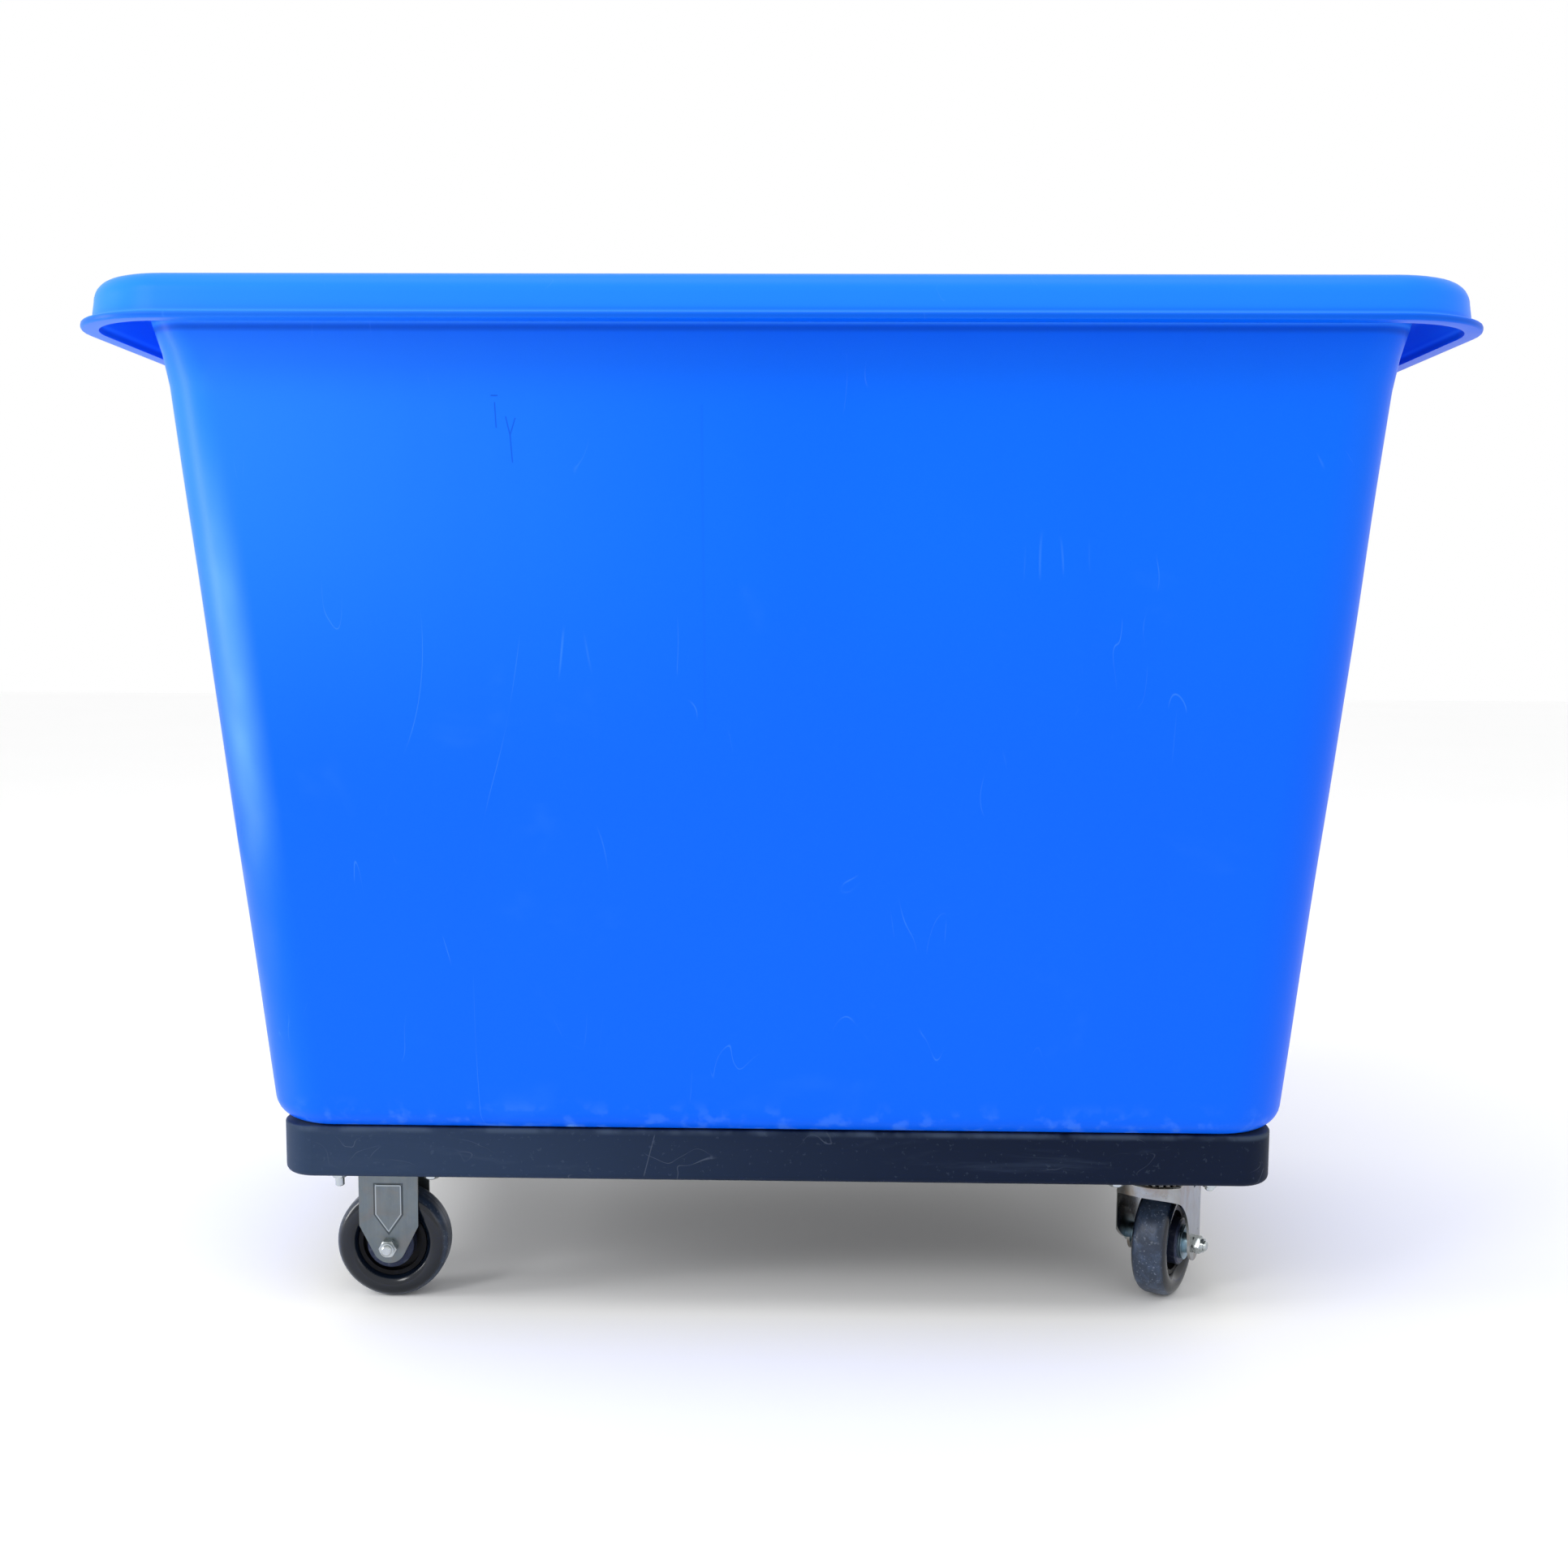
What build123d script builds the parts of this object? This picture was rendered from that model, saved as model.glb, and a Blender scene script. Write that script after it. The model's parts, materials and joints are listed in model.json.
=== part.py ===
from build123d import *
import os
from math import ceil, cos, hypot, radians

# Bulk tub truck: a drafted plastic tub with a rolled rim, bolted through a
# moulded base to two rigid casters and two swivel casters.
# Millimetres, +Z up, +X towards the swivel casters, origin on the floor below
# the middle of the truck.

# ---- overall sizes ----------------------------------------------------------
overall_length = 1111.8
overall_width = 764.0
overall_height = 880.0
rim_past_base = 121.9        # lip edge to base edge, all round

# ---- wheels and caster height ----------------------------------------------
wheel_diameter = 101.6
tyre_width = 32.0
tyre_depth = 19.8
tyre_round = 9.4
caster_head_room = 28.4      # top of the tyre to the underside of the base

# ---- base -------------------------------------------------------------------
base_thickness = 46.0
base_corner = 30.0
base_skin = 6.0
base_wall = 6.0
base_rib = 4.0
base_cell_pitch = 108.0      # widest rib spacing
base_under_round = 6.0
base_top_round = 1.5
pad_margin = 8.0             # solid pad past the caster plate

# ---- tub --------------------------------------------------------------------
tub_past_base = 10.5
tub_wall = 5.0
tub_floor = 6.0
tub_foot_corner = 60.0
tub_top_corner = 50.0        # where the corners start to tighten
rim_corner = 30.0            # where the rim starts
corner_flare = 34.0          # height over which they tighten
tub_foot_round = 20.0
rim_reach = 54.2             # tub wall to lip edge at the top of the wall
rim_flare = 22.0
rim_crown_round = 17.0
skirt_slant = 2.0
lip_stand = 8.4
lip_thickness = 5.7
lip_drop = 38.2              # rim top to the lip's lower face
lip_round = 2.0

# ---- caster plates and their fasteners -------------------------------------
bolt_spacing_x = 83.0
bolt_spacing_y = 57.0
plate_edge = 11.0            # hole centre to plate edge
plate_thickness = 3.0
plate_corner = 8.0
rigid_set_in = 85.0          # base end to rigid caster centre
swivel_set_in = 89.5         # base end to swivel axis
caster_side_set_in = 66.0    # base side to caster centre
bolt_radius = 4.0
bolt_hole_clearance = 0.5
rigid_bolt_tail = 8.3        # bolt past its nut, at the truck's ends
swivel_bolt_tail = 3.5
inner_bolt_tail = 1.5        # the same, on the side towards the truck's middle
bolt_head_radius = 9.5
bolt_head_height = 4.4
washer_radius = 16.0
washer_thickness = 1.5
spring_washer_radius = 7.0
spring_washer_thickness = 2.0
nut_across_flats = 12.7
nut_height = 6.5

# ---- forks ------------------------------------------------------------------
fork_sheet = 2.5
hub_past_tyre = 2.0
rigid_hub_to_fork = 2.0
swivel_hub_to_fork = 9.0
leg_width = 53.5
leg_shoulder_rise = 19.7     # above the axle
leg_tip_radius = 15.0
leg_bend_round = 3.0
panel_half_width = 12.0      # raised panel on each rigid leg
panel_height = 0.8
panel_top_rise = 58.0
panel_shoulder_rise = 30.5
panel_point_rise = 13.5
swivel_trail = 27.0
swivel_turn = 60.3           # degrees from +X to the way the wheel trails
swivel_tip_radius = 15.0
crown_past_leg = 6.8
crown_corner = 8.0
crown_gap = 8.0              # caster plate to crown
crown_skirt = 11.0
crown_round = 2.0
leg_back_rise = 55.0         # axle to the top of the leg's wide part
swept_leg_bow = 13.0         # the nut-side leg is cut back in a bow
full_leg_bow = -8.0          # the head-side leg is full
full_leg_drop = 24.0         # crown top to where the full leg starts to narrow

# ---- swivel bearing ---------------------------------------------------------
kingpin_radius = 6.0
kingpin_head_radius = 10.0
kingpin_head_height = 2.5
upper_ball_radius = 2.5
upper_ball_count = 26
lower_ball_radius = 2.0
lower_ball_count = 14
ball_clearance = 0.3
upper_race_drop = 4.6
upper_race_half_width = 5.0
lower_race_thickness = 2.5
lower_race_lip = 1.5

# ---- axles and hubs ---------------------------------------------------------
axle_radius = 4.75
axle_clearance = 0.1
axle_tail = 2.5
axle_across_flats = 14.3
axle_head_height = 6.0
lock_nut_height = 6.4
lock_nut_collar = 2.4
collar_wall = 1.4
sleeve_wall = 1.7
running_clearance = 0.05
bearing_wall = 2.5
boss_radius = 21.0
web_half_thickness = 5.0
core_rim_depth = 4.0
core_rim_half_width = 10.0
cap_thickness = 1.0
cap_pitch = 1.9              # from one disc of a hub cap to the next
cap_neck = 2.9               # wall of the neck from a hub cap to its leg
cap_clearance = 0.4
rigid_cap_radius = 13.0
swivel_cap_radius = 15.5

# ---- derived ----------------------------------------------------------------
axle_z = wheel_diameter / 2
base_z = wheel_diameter + caster_head_room
tub_z = base_z + base_thickness
base_length = overall_length - 2 * rim_past_base
base_width = overall_width - 2 * rim_past_base
rigid_x = -(base_length / 2 - rigid_set_in)
swivel_x = base_length / 2 - swivel_set_in
caster_y = base_width / 2 - caster_side_set_in
plate_length = bolt_spacing_x + 2 * plate_edge
plate_width = bolt_spacing_y + 2 * plate_edge
plate_z = base_z - plate_thickness
hub_half = tyre_width / 2 + hub_past_tyre
rigid_inner = hub_half + rigid_hub_to_fork
rigid_outer = rigid_inner + fork_sheet
swivel_inner = hub_half + swivel_hub_to_fork
swivel_outer = swivel_inner + fork_sheet
crown_radius = swivel_outer + crown_past_leg
crown_z = plate_z - crown_gap
tyre_inner = wheel_diameter / 2 - tyre_depth
sleeve_radius = axle_radius + axle_clearance + sleeve_wall
bearing_inner = sleeve_radius + running_clearance
bearing_outer = bearing_inner + bearing_wall
upper_ball_circle = swivel_outer - upper_ball_radius - 1.0
upper_ball_z = (crown_z + plate_z - upper_race_drop) / 2
lower_ball_circle = kingpin_radius + lower_ball_radius + 4.0
lower_ball_z = crown_z - fork_sheet - ball_clearance - lower_ball_radius
lower_race_z = lower_ball_z - lower_ball_radius - ball_clearance
lower_race_radius = lower_ball_circle + lower_ball_radius + ball_clearance + lower_race_lip
rim_top = overall_height
rim_start_z = rim_top - tub_wall - rim_flare - 5.0
corner_flare_z = rim_start_z - corner_flare
tub_foot_half_x = base_length / 2 + tub_past_base
tub_foot_half_y = base_width / 2 + tub_past_base
tub_top_half_x = overall_length / 2 - rim_reach
tub_top_half_y = overall_width / 2 - rim_reach
wall_lean = (tub_top_half_x - tub_foot_half_x) / (rim_start_z - tub_z)


# ---- small helpers ----------------------------------------------------------
def block(x_range, y_range, z_range):
    """Box between the given limits."""
    size = [high - low for low, high in (x_range, y_range, z_range)]
    low_corner = (x_range[0], y_range[0], z_range[0])
    return Pos(*low_corner) * Box(*size, align=(Align.MIN, Align.MIN, Align.MIN))


def rod(radius, z_low, z_high):
    """Upright cylinder on the Z axis."""
    return Pos(0, 0, z_low) * Cylinder(radius, z_high - z_low, align=(Align.CENTER, Align.CENTER, Align.MIN))


def ring(inner, outer, z_low, z_high):
    """Upright ring on the Z axis."""
    return rod(outer, z_low, z_high) - rod(inner, z_low - 1, z_high + 1)


def hex_block(across_flats, z_low, z_high, chamfer_size=1.0):
    """Upright hexagon with its corners turned off at both ends."""
    prism = Pos(0, 0, z_low) * extrude(
        RegularPolygon(across_flats / 2, 6, major_radius=False), z_high - z_low
    )
    corner_radius = across_flats / 2 / cos(radians(30))
    blank = rod(corner_radius, z_low, z_high)
    return prism & chamfer(blank.edges(), chamfer_size)


def on_axle(piece, height=axle_z):
    """Lay an upright piece along the axle; its +Z end faces the nut side."""
    return Pos(0, 0, height) * Rot(90, 0, 0) * piece


def bolt_places():
    """Bolt centres of one caster plate, about the caster's own centre."""
    half_x = bolt_spacing_x / 2
    half_y = bolt_spacing_y / 2
    return [(x, y) for x in (-half_x, half_x) for y in (-half_y, half_y)]


def at_bolts(piece):
    """Copies of a piece at the four bolts of one caster plate."""
    return Compound([Pos(x, y, 0) * piece for x, y in bolt_places()])


def round_corner(face, point, radius):
    """Round the corner of a flat outline that lies nearest to point."""
    corner = face.vertices().sort_by_distance(Vector(*point))[0]
    return fillet(corner, radius)


# ---- tub --------------------------------------------------------------------
def tub_outline(inset, z, corner):
    """Plan of the drafted tub at one height, inset from its outer faces."""
    part_way = (z - tub_z) / (rim_start_z - tub_z)
    half_x = tub_foot_half_x + part_way * (tub_top_half_x - tub_foot_half_x) - inset
    half_y = tub_foot_half_y + part_way * (tub_top_half_y - tub_foot_half_y) - inset
    return Pos(0, 0, z) * RectangleRounded(2 * half_x, 2 * half_y, corner - inset)


def tub_block(inset, z_low):
    """Drafted block up to the rim; its rounded corners tighten just under the rim."""
    foot = tub_outline(inset, z_low, tub_foot_corner)
    shoulder = tub_outline(inset, corner_flare_z, tub_top_corner)
    top = tub_outline(inset, rim_start_z, rim_corner)
    return loft([foot, shoulder], ruled=True) + loft([shoulder, top], ruled=True)


def rim_section():
    """Rolled rim in section: wall top, flare, shelf, skirt and lip."""
    def wall_x(z):
        return tub_top_half_x + wall_lean * (z - rim_start_z)

    lip_x = overall_length / 2
    lip_z = rim_top - lip_drop
    lip_top = lip_z + lip_thickness
    shelf_z = rim_top - tub_wall
    skirt_low = lip_x - lip_stand
    skirt_high = skirt_low - skirt_slant
    flare_corner = (wall_x(shelf_z), shelf_z)
    channel_corner = (skirt_high - tub_wall, shelf_z)
    crown_corner_out = (skirt_high, rim_top)
    crown_corner_in = (wall_x(rim_top) - tub_wall, rim_top)
    section = make_face(Polyline(
        (wall_x(rim_start_z), rim_start_z),
        flare_corner,
        channel_corner,
        (skirt_low - tub_wall, lip_z),
        (lip_x, lip_z),
        (lip_x, lip_top),
        (skirt_low, lip_top),
        crown_corner_out,
        crown_corner_in,
        (tub_top_half_x - tub_wall, rim_start_z),
        close=True,
    ))
    section = round_corner(section, flare_corner, rim_flare)
    section = round_corner(section, channel_corner, rim_crown_round - tub_wall)
    section = round_corner(section, crown_corner_out, rim_crown_round)
    section = round_corner(section, crown_corner_in, rim_flare + tub_wall)
    section = round_corner(section, (skirt_low, lip_top), lip_round)
    section = round_corner(section, (lip_x, lip_top), lip_round)
    section = round_corner(section, (lip_x, lip_z), lip_round)
    return Plane.XZ * section


def rim_track():
    """Rounded rectangle round the top of the wall, from the middle of the +X end."""
    x = tub_top_half_x
    y = tub_top_half_y
    r = rim_corner
    sides = [
        Line((x, 0), (x, y - r)),
        CenterArc((x - r, y - r), r, 0, 90),
        Line((x - r, y), (r - x, y)),
        CenterArc((r - x, y - r), r, 90, 90),
        Line((-x, y - r), (-x, r - y)),
        CenterArc((r - x, r - y), r, 180, 90),
        Line((r - x, -y), (x - r, -y)),
        CenterArc((x - r, r - y), r, 270, 90),
        Line((x, r - y), (x, 0)),
    ]
    return Pos(0, 0, rim_start_z) * Wire([side.edge() for side in sides])


def tub_rim():
    """The rim section carried round the top of the tub."""
    return sweep(rim_section(), path=rim_track())


def make_tub():
    outer = tub_block(0, tub_z)
    outer = fillet(outer.faces().sort_by(Axis.Z)[0].edges(), tub_foot_round)
    hollow = tub_block(tub_wall, tub_z + tub_floor)
    hollow = fillet(hollow.faces().sort_by(Axis.Z)[0].edges(), tub_foot_round - tub_wall)
    tub = outer - hollow + tub_rim()
    drill = rod(bolt_radius + bolt_hole_clearance, tub_z - 1, tub_z + tub_floor + 1)
    for place in caster_places():
        tub -= place * at_bolts(drill)
    return tub


# ---- base -------------------------------------------------------------------
def base_cells():
    """Pockets under the base, between its ribs."""
    inside_x = base_length - 2 * base_wall
    inside_y = base_width - 2 * base_wall
    count_x = ceil(inside_x / base_cell_pitch)
    count_y = ceil(inside_y / base_cell_pitch)
    pitch_x = (inside_x + base_rib) / count_x
    pitch_y = (inside_y + base_rib) / count_y
    cell = Box(
        pitch_x - base_rib, pitch_y - base_rib, base_thickness - base_skin,
        align=(Align.CENTER, Align.CENTER, Align.MIN),
    )
    cells = [
        Pos((i - (count_x - 1) / 2) * pitch_x, (j - (count_y - 1) / 2) * pitch_y, base_z) * cell
        for i in range(count_x)
        for j in range(count_y)
    ]
    inside = Pos(0, 0, base_z) * extrude(
        RectangleRounded(inside_x, inside_y, base_corner - base_wall), base_thickness
    )
    return Compound(cells) & inside


def make_base():
    body = Pos(0, 0, base_z) * extrude(
        RectangleRounded(base_length, base_width, base_corner), base_thickness
    )
    body = fillet(body.faces().sort_by(Axis.Z)[0].edges(), base_under_round)
    body = fillet(body.faces().sort_by(Axis.Z)[-1].edges(), base_top_round)
    body -= base_cells()
    pad_x = plate_length / 2 + pad_margin
    pad_y = plate_width / 2 + pad_margin
    pad = block((-pad_x, pad_x), (-pad_y, pad_y), (base_z, tub_z - base_skin / 2))
    drill = rod(bolt_radius + bolt_hole_clearance, base_z - 1, tub_z + 1)
    for place in caster_places():
        body += place * pad
    for place in caster_places():
        body -= place * at_bolts(drill)
    return body


# ---- fasteners through tub, base and caster plate ---------------------------
def carriage_bolt(tail):
    under_head = tub_z + tub_floor + washer_thickness
    bolt_end = plate_z - spring_washer_thickness - nut_height - tail
    dome_radius = (bolt_head_radius ** 2 + bolt_head_height ** 2) / (2 * bolt_head_height)
    ball = Pos(0, 0, under_head + bolt_head_height - dome_radius) * Sphere(dome_radius)
    head = ball & rod(bolt_head_radius + 1, under_head, under_head + bolt_head_height + 1)
    shank = rod(bolt_radius, bolt_end, under_head)
    return head + chamfer(shank.edges().sort_by(Axis.Z)[0], 0.8)


def carriage_bolts(outward, tail):
    """The four bolts of one plate; those on the outward side (-1 or +1) stand out further."""
    return Compound([
        Pos(x, y, 0) * carriage_bolt(tail if x * outward > 0 else inner_bolt_tail)
        for x, y in bolt_places()
    ])


def fender_washer():
    floor_z = tub_z + tub_floor
    hole = bolt_radius + bolt_hole_clearance
    return ring(hole, washer_radius, floor_z, floor_z + washer_thickness)


def plate_spring_washer():
    hole = bolt_radius + bolt_hole_clearance
    return ring(hole, spring_washer_radius, plate_z - spring_washer_thickness, plate_z)


def plate_nut():
    top = plate_z - spring_washer_thickness
    nut = hex_block(nut_across_flats, top - nut_height, top)
    return nut - rod(bolt_radius, top - nut_height - 1, top + 1)


# ---- caster pieces, each about its caster's own centre ----------------------
def drilled_plate():
    plate = Pos(0, 0, plate_z) * extrude(
        RectangleRounded(plate_length, plate_width, plate_corner), plate_thickness
    )
    drill = rod(bolt_radius + bolt_hole_clearance, plate_z - 1, base_z + 1)
    return plate - at_bolts(drill)


def rigid_bracket():
    """Plate with two legs turned down, each with a raised arrow panel."""
    shoulder_z = axle_z + leg_shoulder_rise
    half = leg_width / 2
    top_part = Pos(0, (plate_z + shoulder_z) / 2) * Rectangle(leg_width, plate_z - shoulder_z)
    tip = Pos(0, axle_z) * Circle(leg_tip_radius)
    outline = make_hull(top_part.edges() + tip.edges())
    panel = make_face(Polyline(
        (-panel_half_width, axle_z + panel_top_rise),
        (panel_half_width, axle_z + panel_top_rise),
        (panel_half_width, axle_z + panel_shoulder_rise),
        (0, axle_z + panel_point_rise),
        (-panel_half_width, axle_z + panel_shoulder_rise),
        close=True,
    ))
    panel = fillet(panel.vertices(), 2.0)
    bracket = drilled_plate()
    for side in (-1, 1):
        leg_middle = side * (rigid_inner + fork_sheet / 2)
        leg = extrude(Plane.XZ * outline, fork_sheet / 2, both=True)
        bracket += Pos(0, leg_middle, 0) * leg
        raised = extrude(Plane.XZ * panel, fork_sheet / 4 + panel_height / 2, both=True)
        bracket += Pos(0, side * (rigid_outer + panel_height / 2 - fork_sheet / 4), 0) * raised
        gusset_y = side * rigid_inner
        bracket += bend_gusset(gusset_y, -side, half)
    return bracket - axle_drill(rigid_outer)


def bend_gusset(y, direction, half):
    """Rounded inside corner where a leg meets its plate."""
    r = leg_bend_round
    corner = make_face([
        Line((0, 0), (direction * r, 0)),
        RadiusArc((direction * r, 0), (0, -r), direction * r),
        Line((0, -r), (0, 0)),
    ])
    return Pos(0, y, plate_z) * extrude(Plane.YZ * corner, half, both=True)


def axle_drill(fork_outer):
    """Bore for the axle bolt through both legs of a fork."""
    reach = fork_outer + panel_height + 1
    return on_axle(rod(axle_radius + axle_clearance, -reach, reach))


def axle_bolt(fork_outer):
    shank = rod(axle_radius, -fork_outer, fork_outer + lock_nut_height + lock_nut_collar + axle_tail)
    shank = chamfer(shank.edges().sort_by(Axis.Z)[-1], 1.0)
    head = hex_block(axle_across_flats, -fork_outer - axle_head_height, -fork_outer)
    return on_axle(shank + head)


def axle_nut(fork_outer):
    top = fork_outer + lock_nut_height
    nut = hex_block(axle_across_flats, fork_outer, top)
    nut += rod(axle_radius + collar_wall, top - 1, top + lock_nut_collar)
    return on_axle(nut - rod(axle_radius, fork_outer - 1, top + lock_nut_collar + 1))


def axle_sleeve(fork_inner):
    return on_axle(ring(axle_radius + axle_clearance, sleeve_radius, -fork_inner, fork_inner))


def hub_caps(fork_inner, radius, discs):
    """At each end of the hub, thin pressed discs on a neck that reaches the leg."""
    low = hub_half + cap_clearance
    hole = sleeve_radius + running_clearance
    cap = ring(hole, hole + cap_neck, low, fork_inner)
    for disc in range(discs):
        start = low + disc * cap_pitch
        cap += ring(hole, radius, start, start + cap_thickness)
    return Compound([on_axle(cap), on_axle(Rot(180, 0, 0) * cap)])


def wheel_bearing():
    bush = ring(bearing_inner, bearing_outer, -hub_half, hub_half)
    return on_axle(bush)


def wheel_core():
    """Hub boss, thin web and the rim that carries the tyre."""
    boss = rod(boss_radius, -hub_half, hub_half)
    boss = chamfer(boss.edges().filter_by(GeomType.CIRCLE), 1.5)
    web = rod(tyre_inner - 1, -web_half_thickness, web_half_thickness)
    rim = ring(tyre_inner - core_rim_depth, tyre_inner, -core_rim_half_width, core_rim_half_width)
    core = boss + web + rim
    return on_axle(core - rod(bearing_outer, -hub_half - 1, hub_half + 1))


def wheel_tyre():
    section = Pos(wheel_diameter / 2 - tyre_depth / 2, 0) * RectangleRounded(
        tyre_depth, tyre_width, tyre_round
    )
    return on_axle(revolve(Plane.XZ * section, Axis.Z))


def swivel_plate():
    """Top plate with the upper ball race pressed out of its underside."""
    race = ring(
        upper_ball_circle - upper_race_half_width, upper_ball_circle + upper_race_half_width,
        plate_z - upper_race_drop, plate_z,
    )
    groove = Pos(0, 0, upper_ball_z) * Torus(upper_ball_circle, upper_ball_radius + ball_clearance)
    pin_hole = rod(kingpin_radius, plate_z - upper_race_drop - 1, base_z + 1)
    return drilled_plate() + race - groove - pin_hole


def kingpin():
    head_top = lower_race_z - lower_race_thickness
    shank = rod(kingpin_radius, head_top - 1, base_z)
    head = rod(kingpin_head_radius, head_top - kingpin_head_height, head_top)
    return shank + chamfer(head.edges().sort_by(Axis.Z)[0], 1.0)


def lower_race():
    """Dished washer on the kingpin, under the lower balls."""
    bottom = lower_race_z - lower_race_thickness
    dish = rod(lower_race_radius, bottom, lower_race_z + lower_ball_radius)
    dish -= rod(lower_race_radius - lower_race_lip, lower_race_z, lower_race_z + lower_ball_radius + 1)
    return dish - rod(kingpin_radius, bottom - 1, lower_race_z + 1)


def ball_ring(count, circle, radius, z):
    step = 360 / count
    return Compound([Rot(0, 0, i * step) * Pos(circle, 0, z) * Sphere(radius) for i in range(count)])


def crown_outline():
    """Plan of the yoke's crown: a circle cut flat along both legs."""
    plan = Circle(crown_radius) & Rectangle(2 * crown_radius, 2 * swivel_outer)
    return fillet(plan.vertices(), crown_corner)


def yoke_side_outline(front_drop, bow):
    """Side view of the yoke: crown, one leg and the eye round the axle.

    front_drop is how far the front edge runs straight down; below that it bows
    by bow to the eye, cutting into the leg when positive and filling it when negative.
    """
    trail = swivel_trail
    tip = swivel_tip_radius
    front = (-crown_radius - 1, crown_z - front_drop)
    eye = (trail - tip, axle_z)
    back = trail + tip
    run = hypot(eye[0] - front[0], eye[1] - front[1])
    middle = (
        (front[0] + eye[0]) / 2 + bow * (front[1] - eye[1]) / run,
        (front[1] + eye[1]) / 2 + bow * (eye[0] - front[0]) / run,
    )
    return make_face([
        Line(front, (front[0], crown_z + 1)),
        Line((front[0], crown_z + 1), (back, crown_z + 1)),
        Line((back, crown_z + 1), (back, axle_z)),
        ThreePointArc((back, axle_z), (trail, axle_z - tip), eye),
        ThreePointArc(eye, middle, front),
    ])


def swivel_yoke():
    """Pressed fork: closed crown on top, two swept legs, groove for balls."""
    step_z = axle_z + leg_back_rise
    below = axle_z - 2 * swivel_tip_radius
    back = swivel_trail + swivel_tip_radius
    inner_top = crown_z - fork_sheet
    plan = crown_outline()
    inner_plan = offset(plan, -fork_sheet)
    legs_plan = plan + Pos(back / 2, 0) * Rectangle(back, 2 * swivel_outer)
    inner_legs = inner_plan + Pos(back, 0) * Rectangle(2 * back, 2 * swivel_inner)
    crown = Pos(0, 0, step_z) * extrude(plan, crown_z - step_z)
    crown = fillet(crown.faces().sort_by(Axis.Z)[-1].edges(), crown_round)
    shell = crown + Pos(0, 0, below) * extrude(legs_plan, step_z - below)
    shell -= Pos(0, 0, below) * extrude(inner_legs, step_z - fork_sheet - below)
    shell -= Pos(0, 0, below) * extrude(inner_plan, inner_top - below)
    reach = crown_radius + 1
    swept = extrude(Plane.XZ * yoke_side_outline(crown_skirt, swept_leg_bow), reach, both=True)
    full = extrude(Plane.XZ * yoke_side_outline(full_leg_drop, full_leg_bow), reach, both=True)
    full &= block((-2 * reach, 2 * back), (swivel_inner, reach), (0, crown_z + 1))
    shell = shell & (swept + full)
    groove = Pos(0, 0, upper_ball_z) * Torus(upper_ball_circle, upper_ball_radius + ball_clearance)
    pin_hole = rod(kingpin_radius + axle_clearance, inner_top - 1, crown_z + 1)
    return shell - groove - pin_hole - Pos(swivel_trail, 0, 0) * axle_drill(swivel_outer)


# ---- the whole truck --------------------------------------------------------
def caster_places():
    """Centre of each caster, in plan."""
    return [
        Pos(rigid_x, -caster_y, 0), Pos(rigid_x, caster_y, 0),
        Pos(swivel_x, -caster_y, 0), Pos(swivel_x, caster_y, 0),
    ]


def fastener_nodes():
    names = ("rigid_near", "rigid_far", "swivel_near", "swivel_far")
    rigid_bolts = carriage_bolts(-1, rigid_bolt_tail)
    swivel_bolts = carriage_bolts(1, swivel_bolt_tail)
    bolt_sets = (rigid_bolts, rigid_bolts, swivel_bolts, swivel_bolts)
    nodes = {}
    for name, place, bolts in zip(names, caster_places(), bolt_sets):
        nodes["carriage_bolts_" + name] = place * bolts
        nodes["fender_washers_" + name] = place * at_bolts(fender_washer())
        nodes["spring_washers_" + name] = place * at_bolts(plate_spring_washer())
        nodes["plate_nuts_" + name] = place * at_bolts(plate_nut())
    return nodes


def wheel_set(fork_inner, cap_radius, cap_discs):
    """Axle and wheel pieces that both kinds of caster have."""
    fork_outer = fork_inner + fork_sheet
    return {
        "axle_bolt": axle_bolt(fork_outer),
        "axle_nut": axle_nut(fork_outer),
        "axle_sleeve": axle_sleeve(fork_inner),
        "hub_caps": hub_caps(fork_inner, cap_radius, cap_discs),
        "wheel_bearing": wheel_bearing(),
        "wheel_core": wheel_core(),
        "tyre": wheel_tyre(),
    }


def rigid_nodes():
    pieces = wheel_set(rigid_inner, rigid_cap_radius, 1)
    pieces["bracket"] = rigid_bracket()
    nodes = {}
    for name, side, turn in (("near", -1, 0), ("far", 1, 180)):
        place = Pos(rigid_x, side * caster_y, 0) * Rot(0, 0, turn)
        for piece_name, piece in pieces.items():
            nodes["rigid_" + name + "_" + piece_name] = place * piece
    return nodes


def swivel_nodes():
    fixed = {"top_plate": swivel_plate(), "kingpin": kingpin(), "lower_race": lower_race()}
    wheel = wheel_set(swivel_inner, swivel_cap_radius, 2)
    turning = {name: Pos(swivel_trail, 0, 0) * piece for name, piece in wheel.items()}
    turning["yoke"] = swivel_yoke()
    turning["upper_balls"] = ball_ring(upper_ball_count, upper_ball_circle, upper_ball_radius, upper_ball_z)
    turning["lower_balls"] = ball_ring(lower_ball_count, lower_ball_circle, lower_ball_radius, lower_ball_z)
    nodes = {}
    for name, side in (("near", -1), ("far", 1)):
        place = Pos(swivel_x, side * caster_y, 0)
        for piece_name, piece in fixed.items():
            nodes["swivel_" + name + "_" + piece_name] = place * piece
        for piece_name, piece in turning.items():
            nodes["swivel_" + name + "_" + piece_name] = place * Rot(0, 0, swivel_turn) * piece
    return nodes


def main():
    os.makedirs("parts", exist_ok=True)
    nodes = {"tub": make_tub(), "base": make_base()}
    nodes.update(fastener_nodes())
    nodes.update(rigid_nodes())
    nodes.update(swivel_nodes())
    for name, piece in nodes.items():
        export_step(piece, "parts/" + name + ".step")


main()
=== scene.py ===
import json
from math import cos, pi, radians, sin

import bmesh
import bpy
from mathutils import Matrix, Vector


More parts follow.
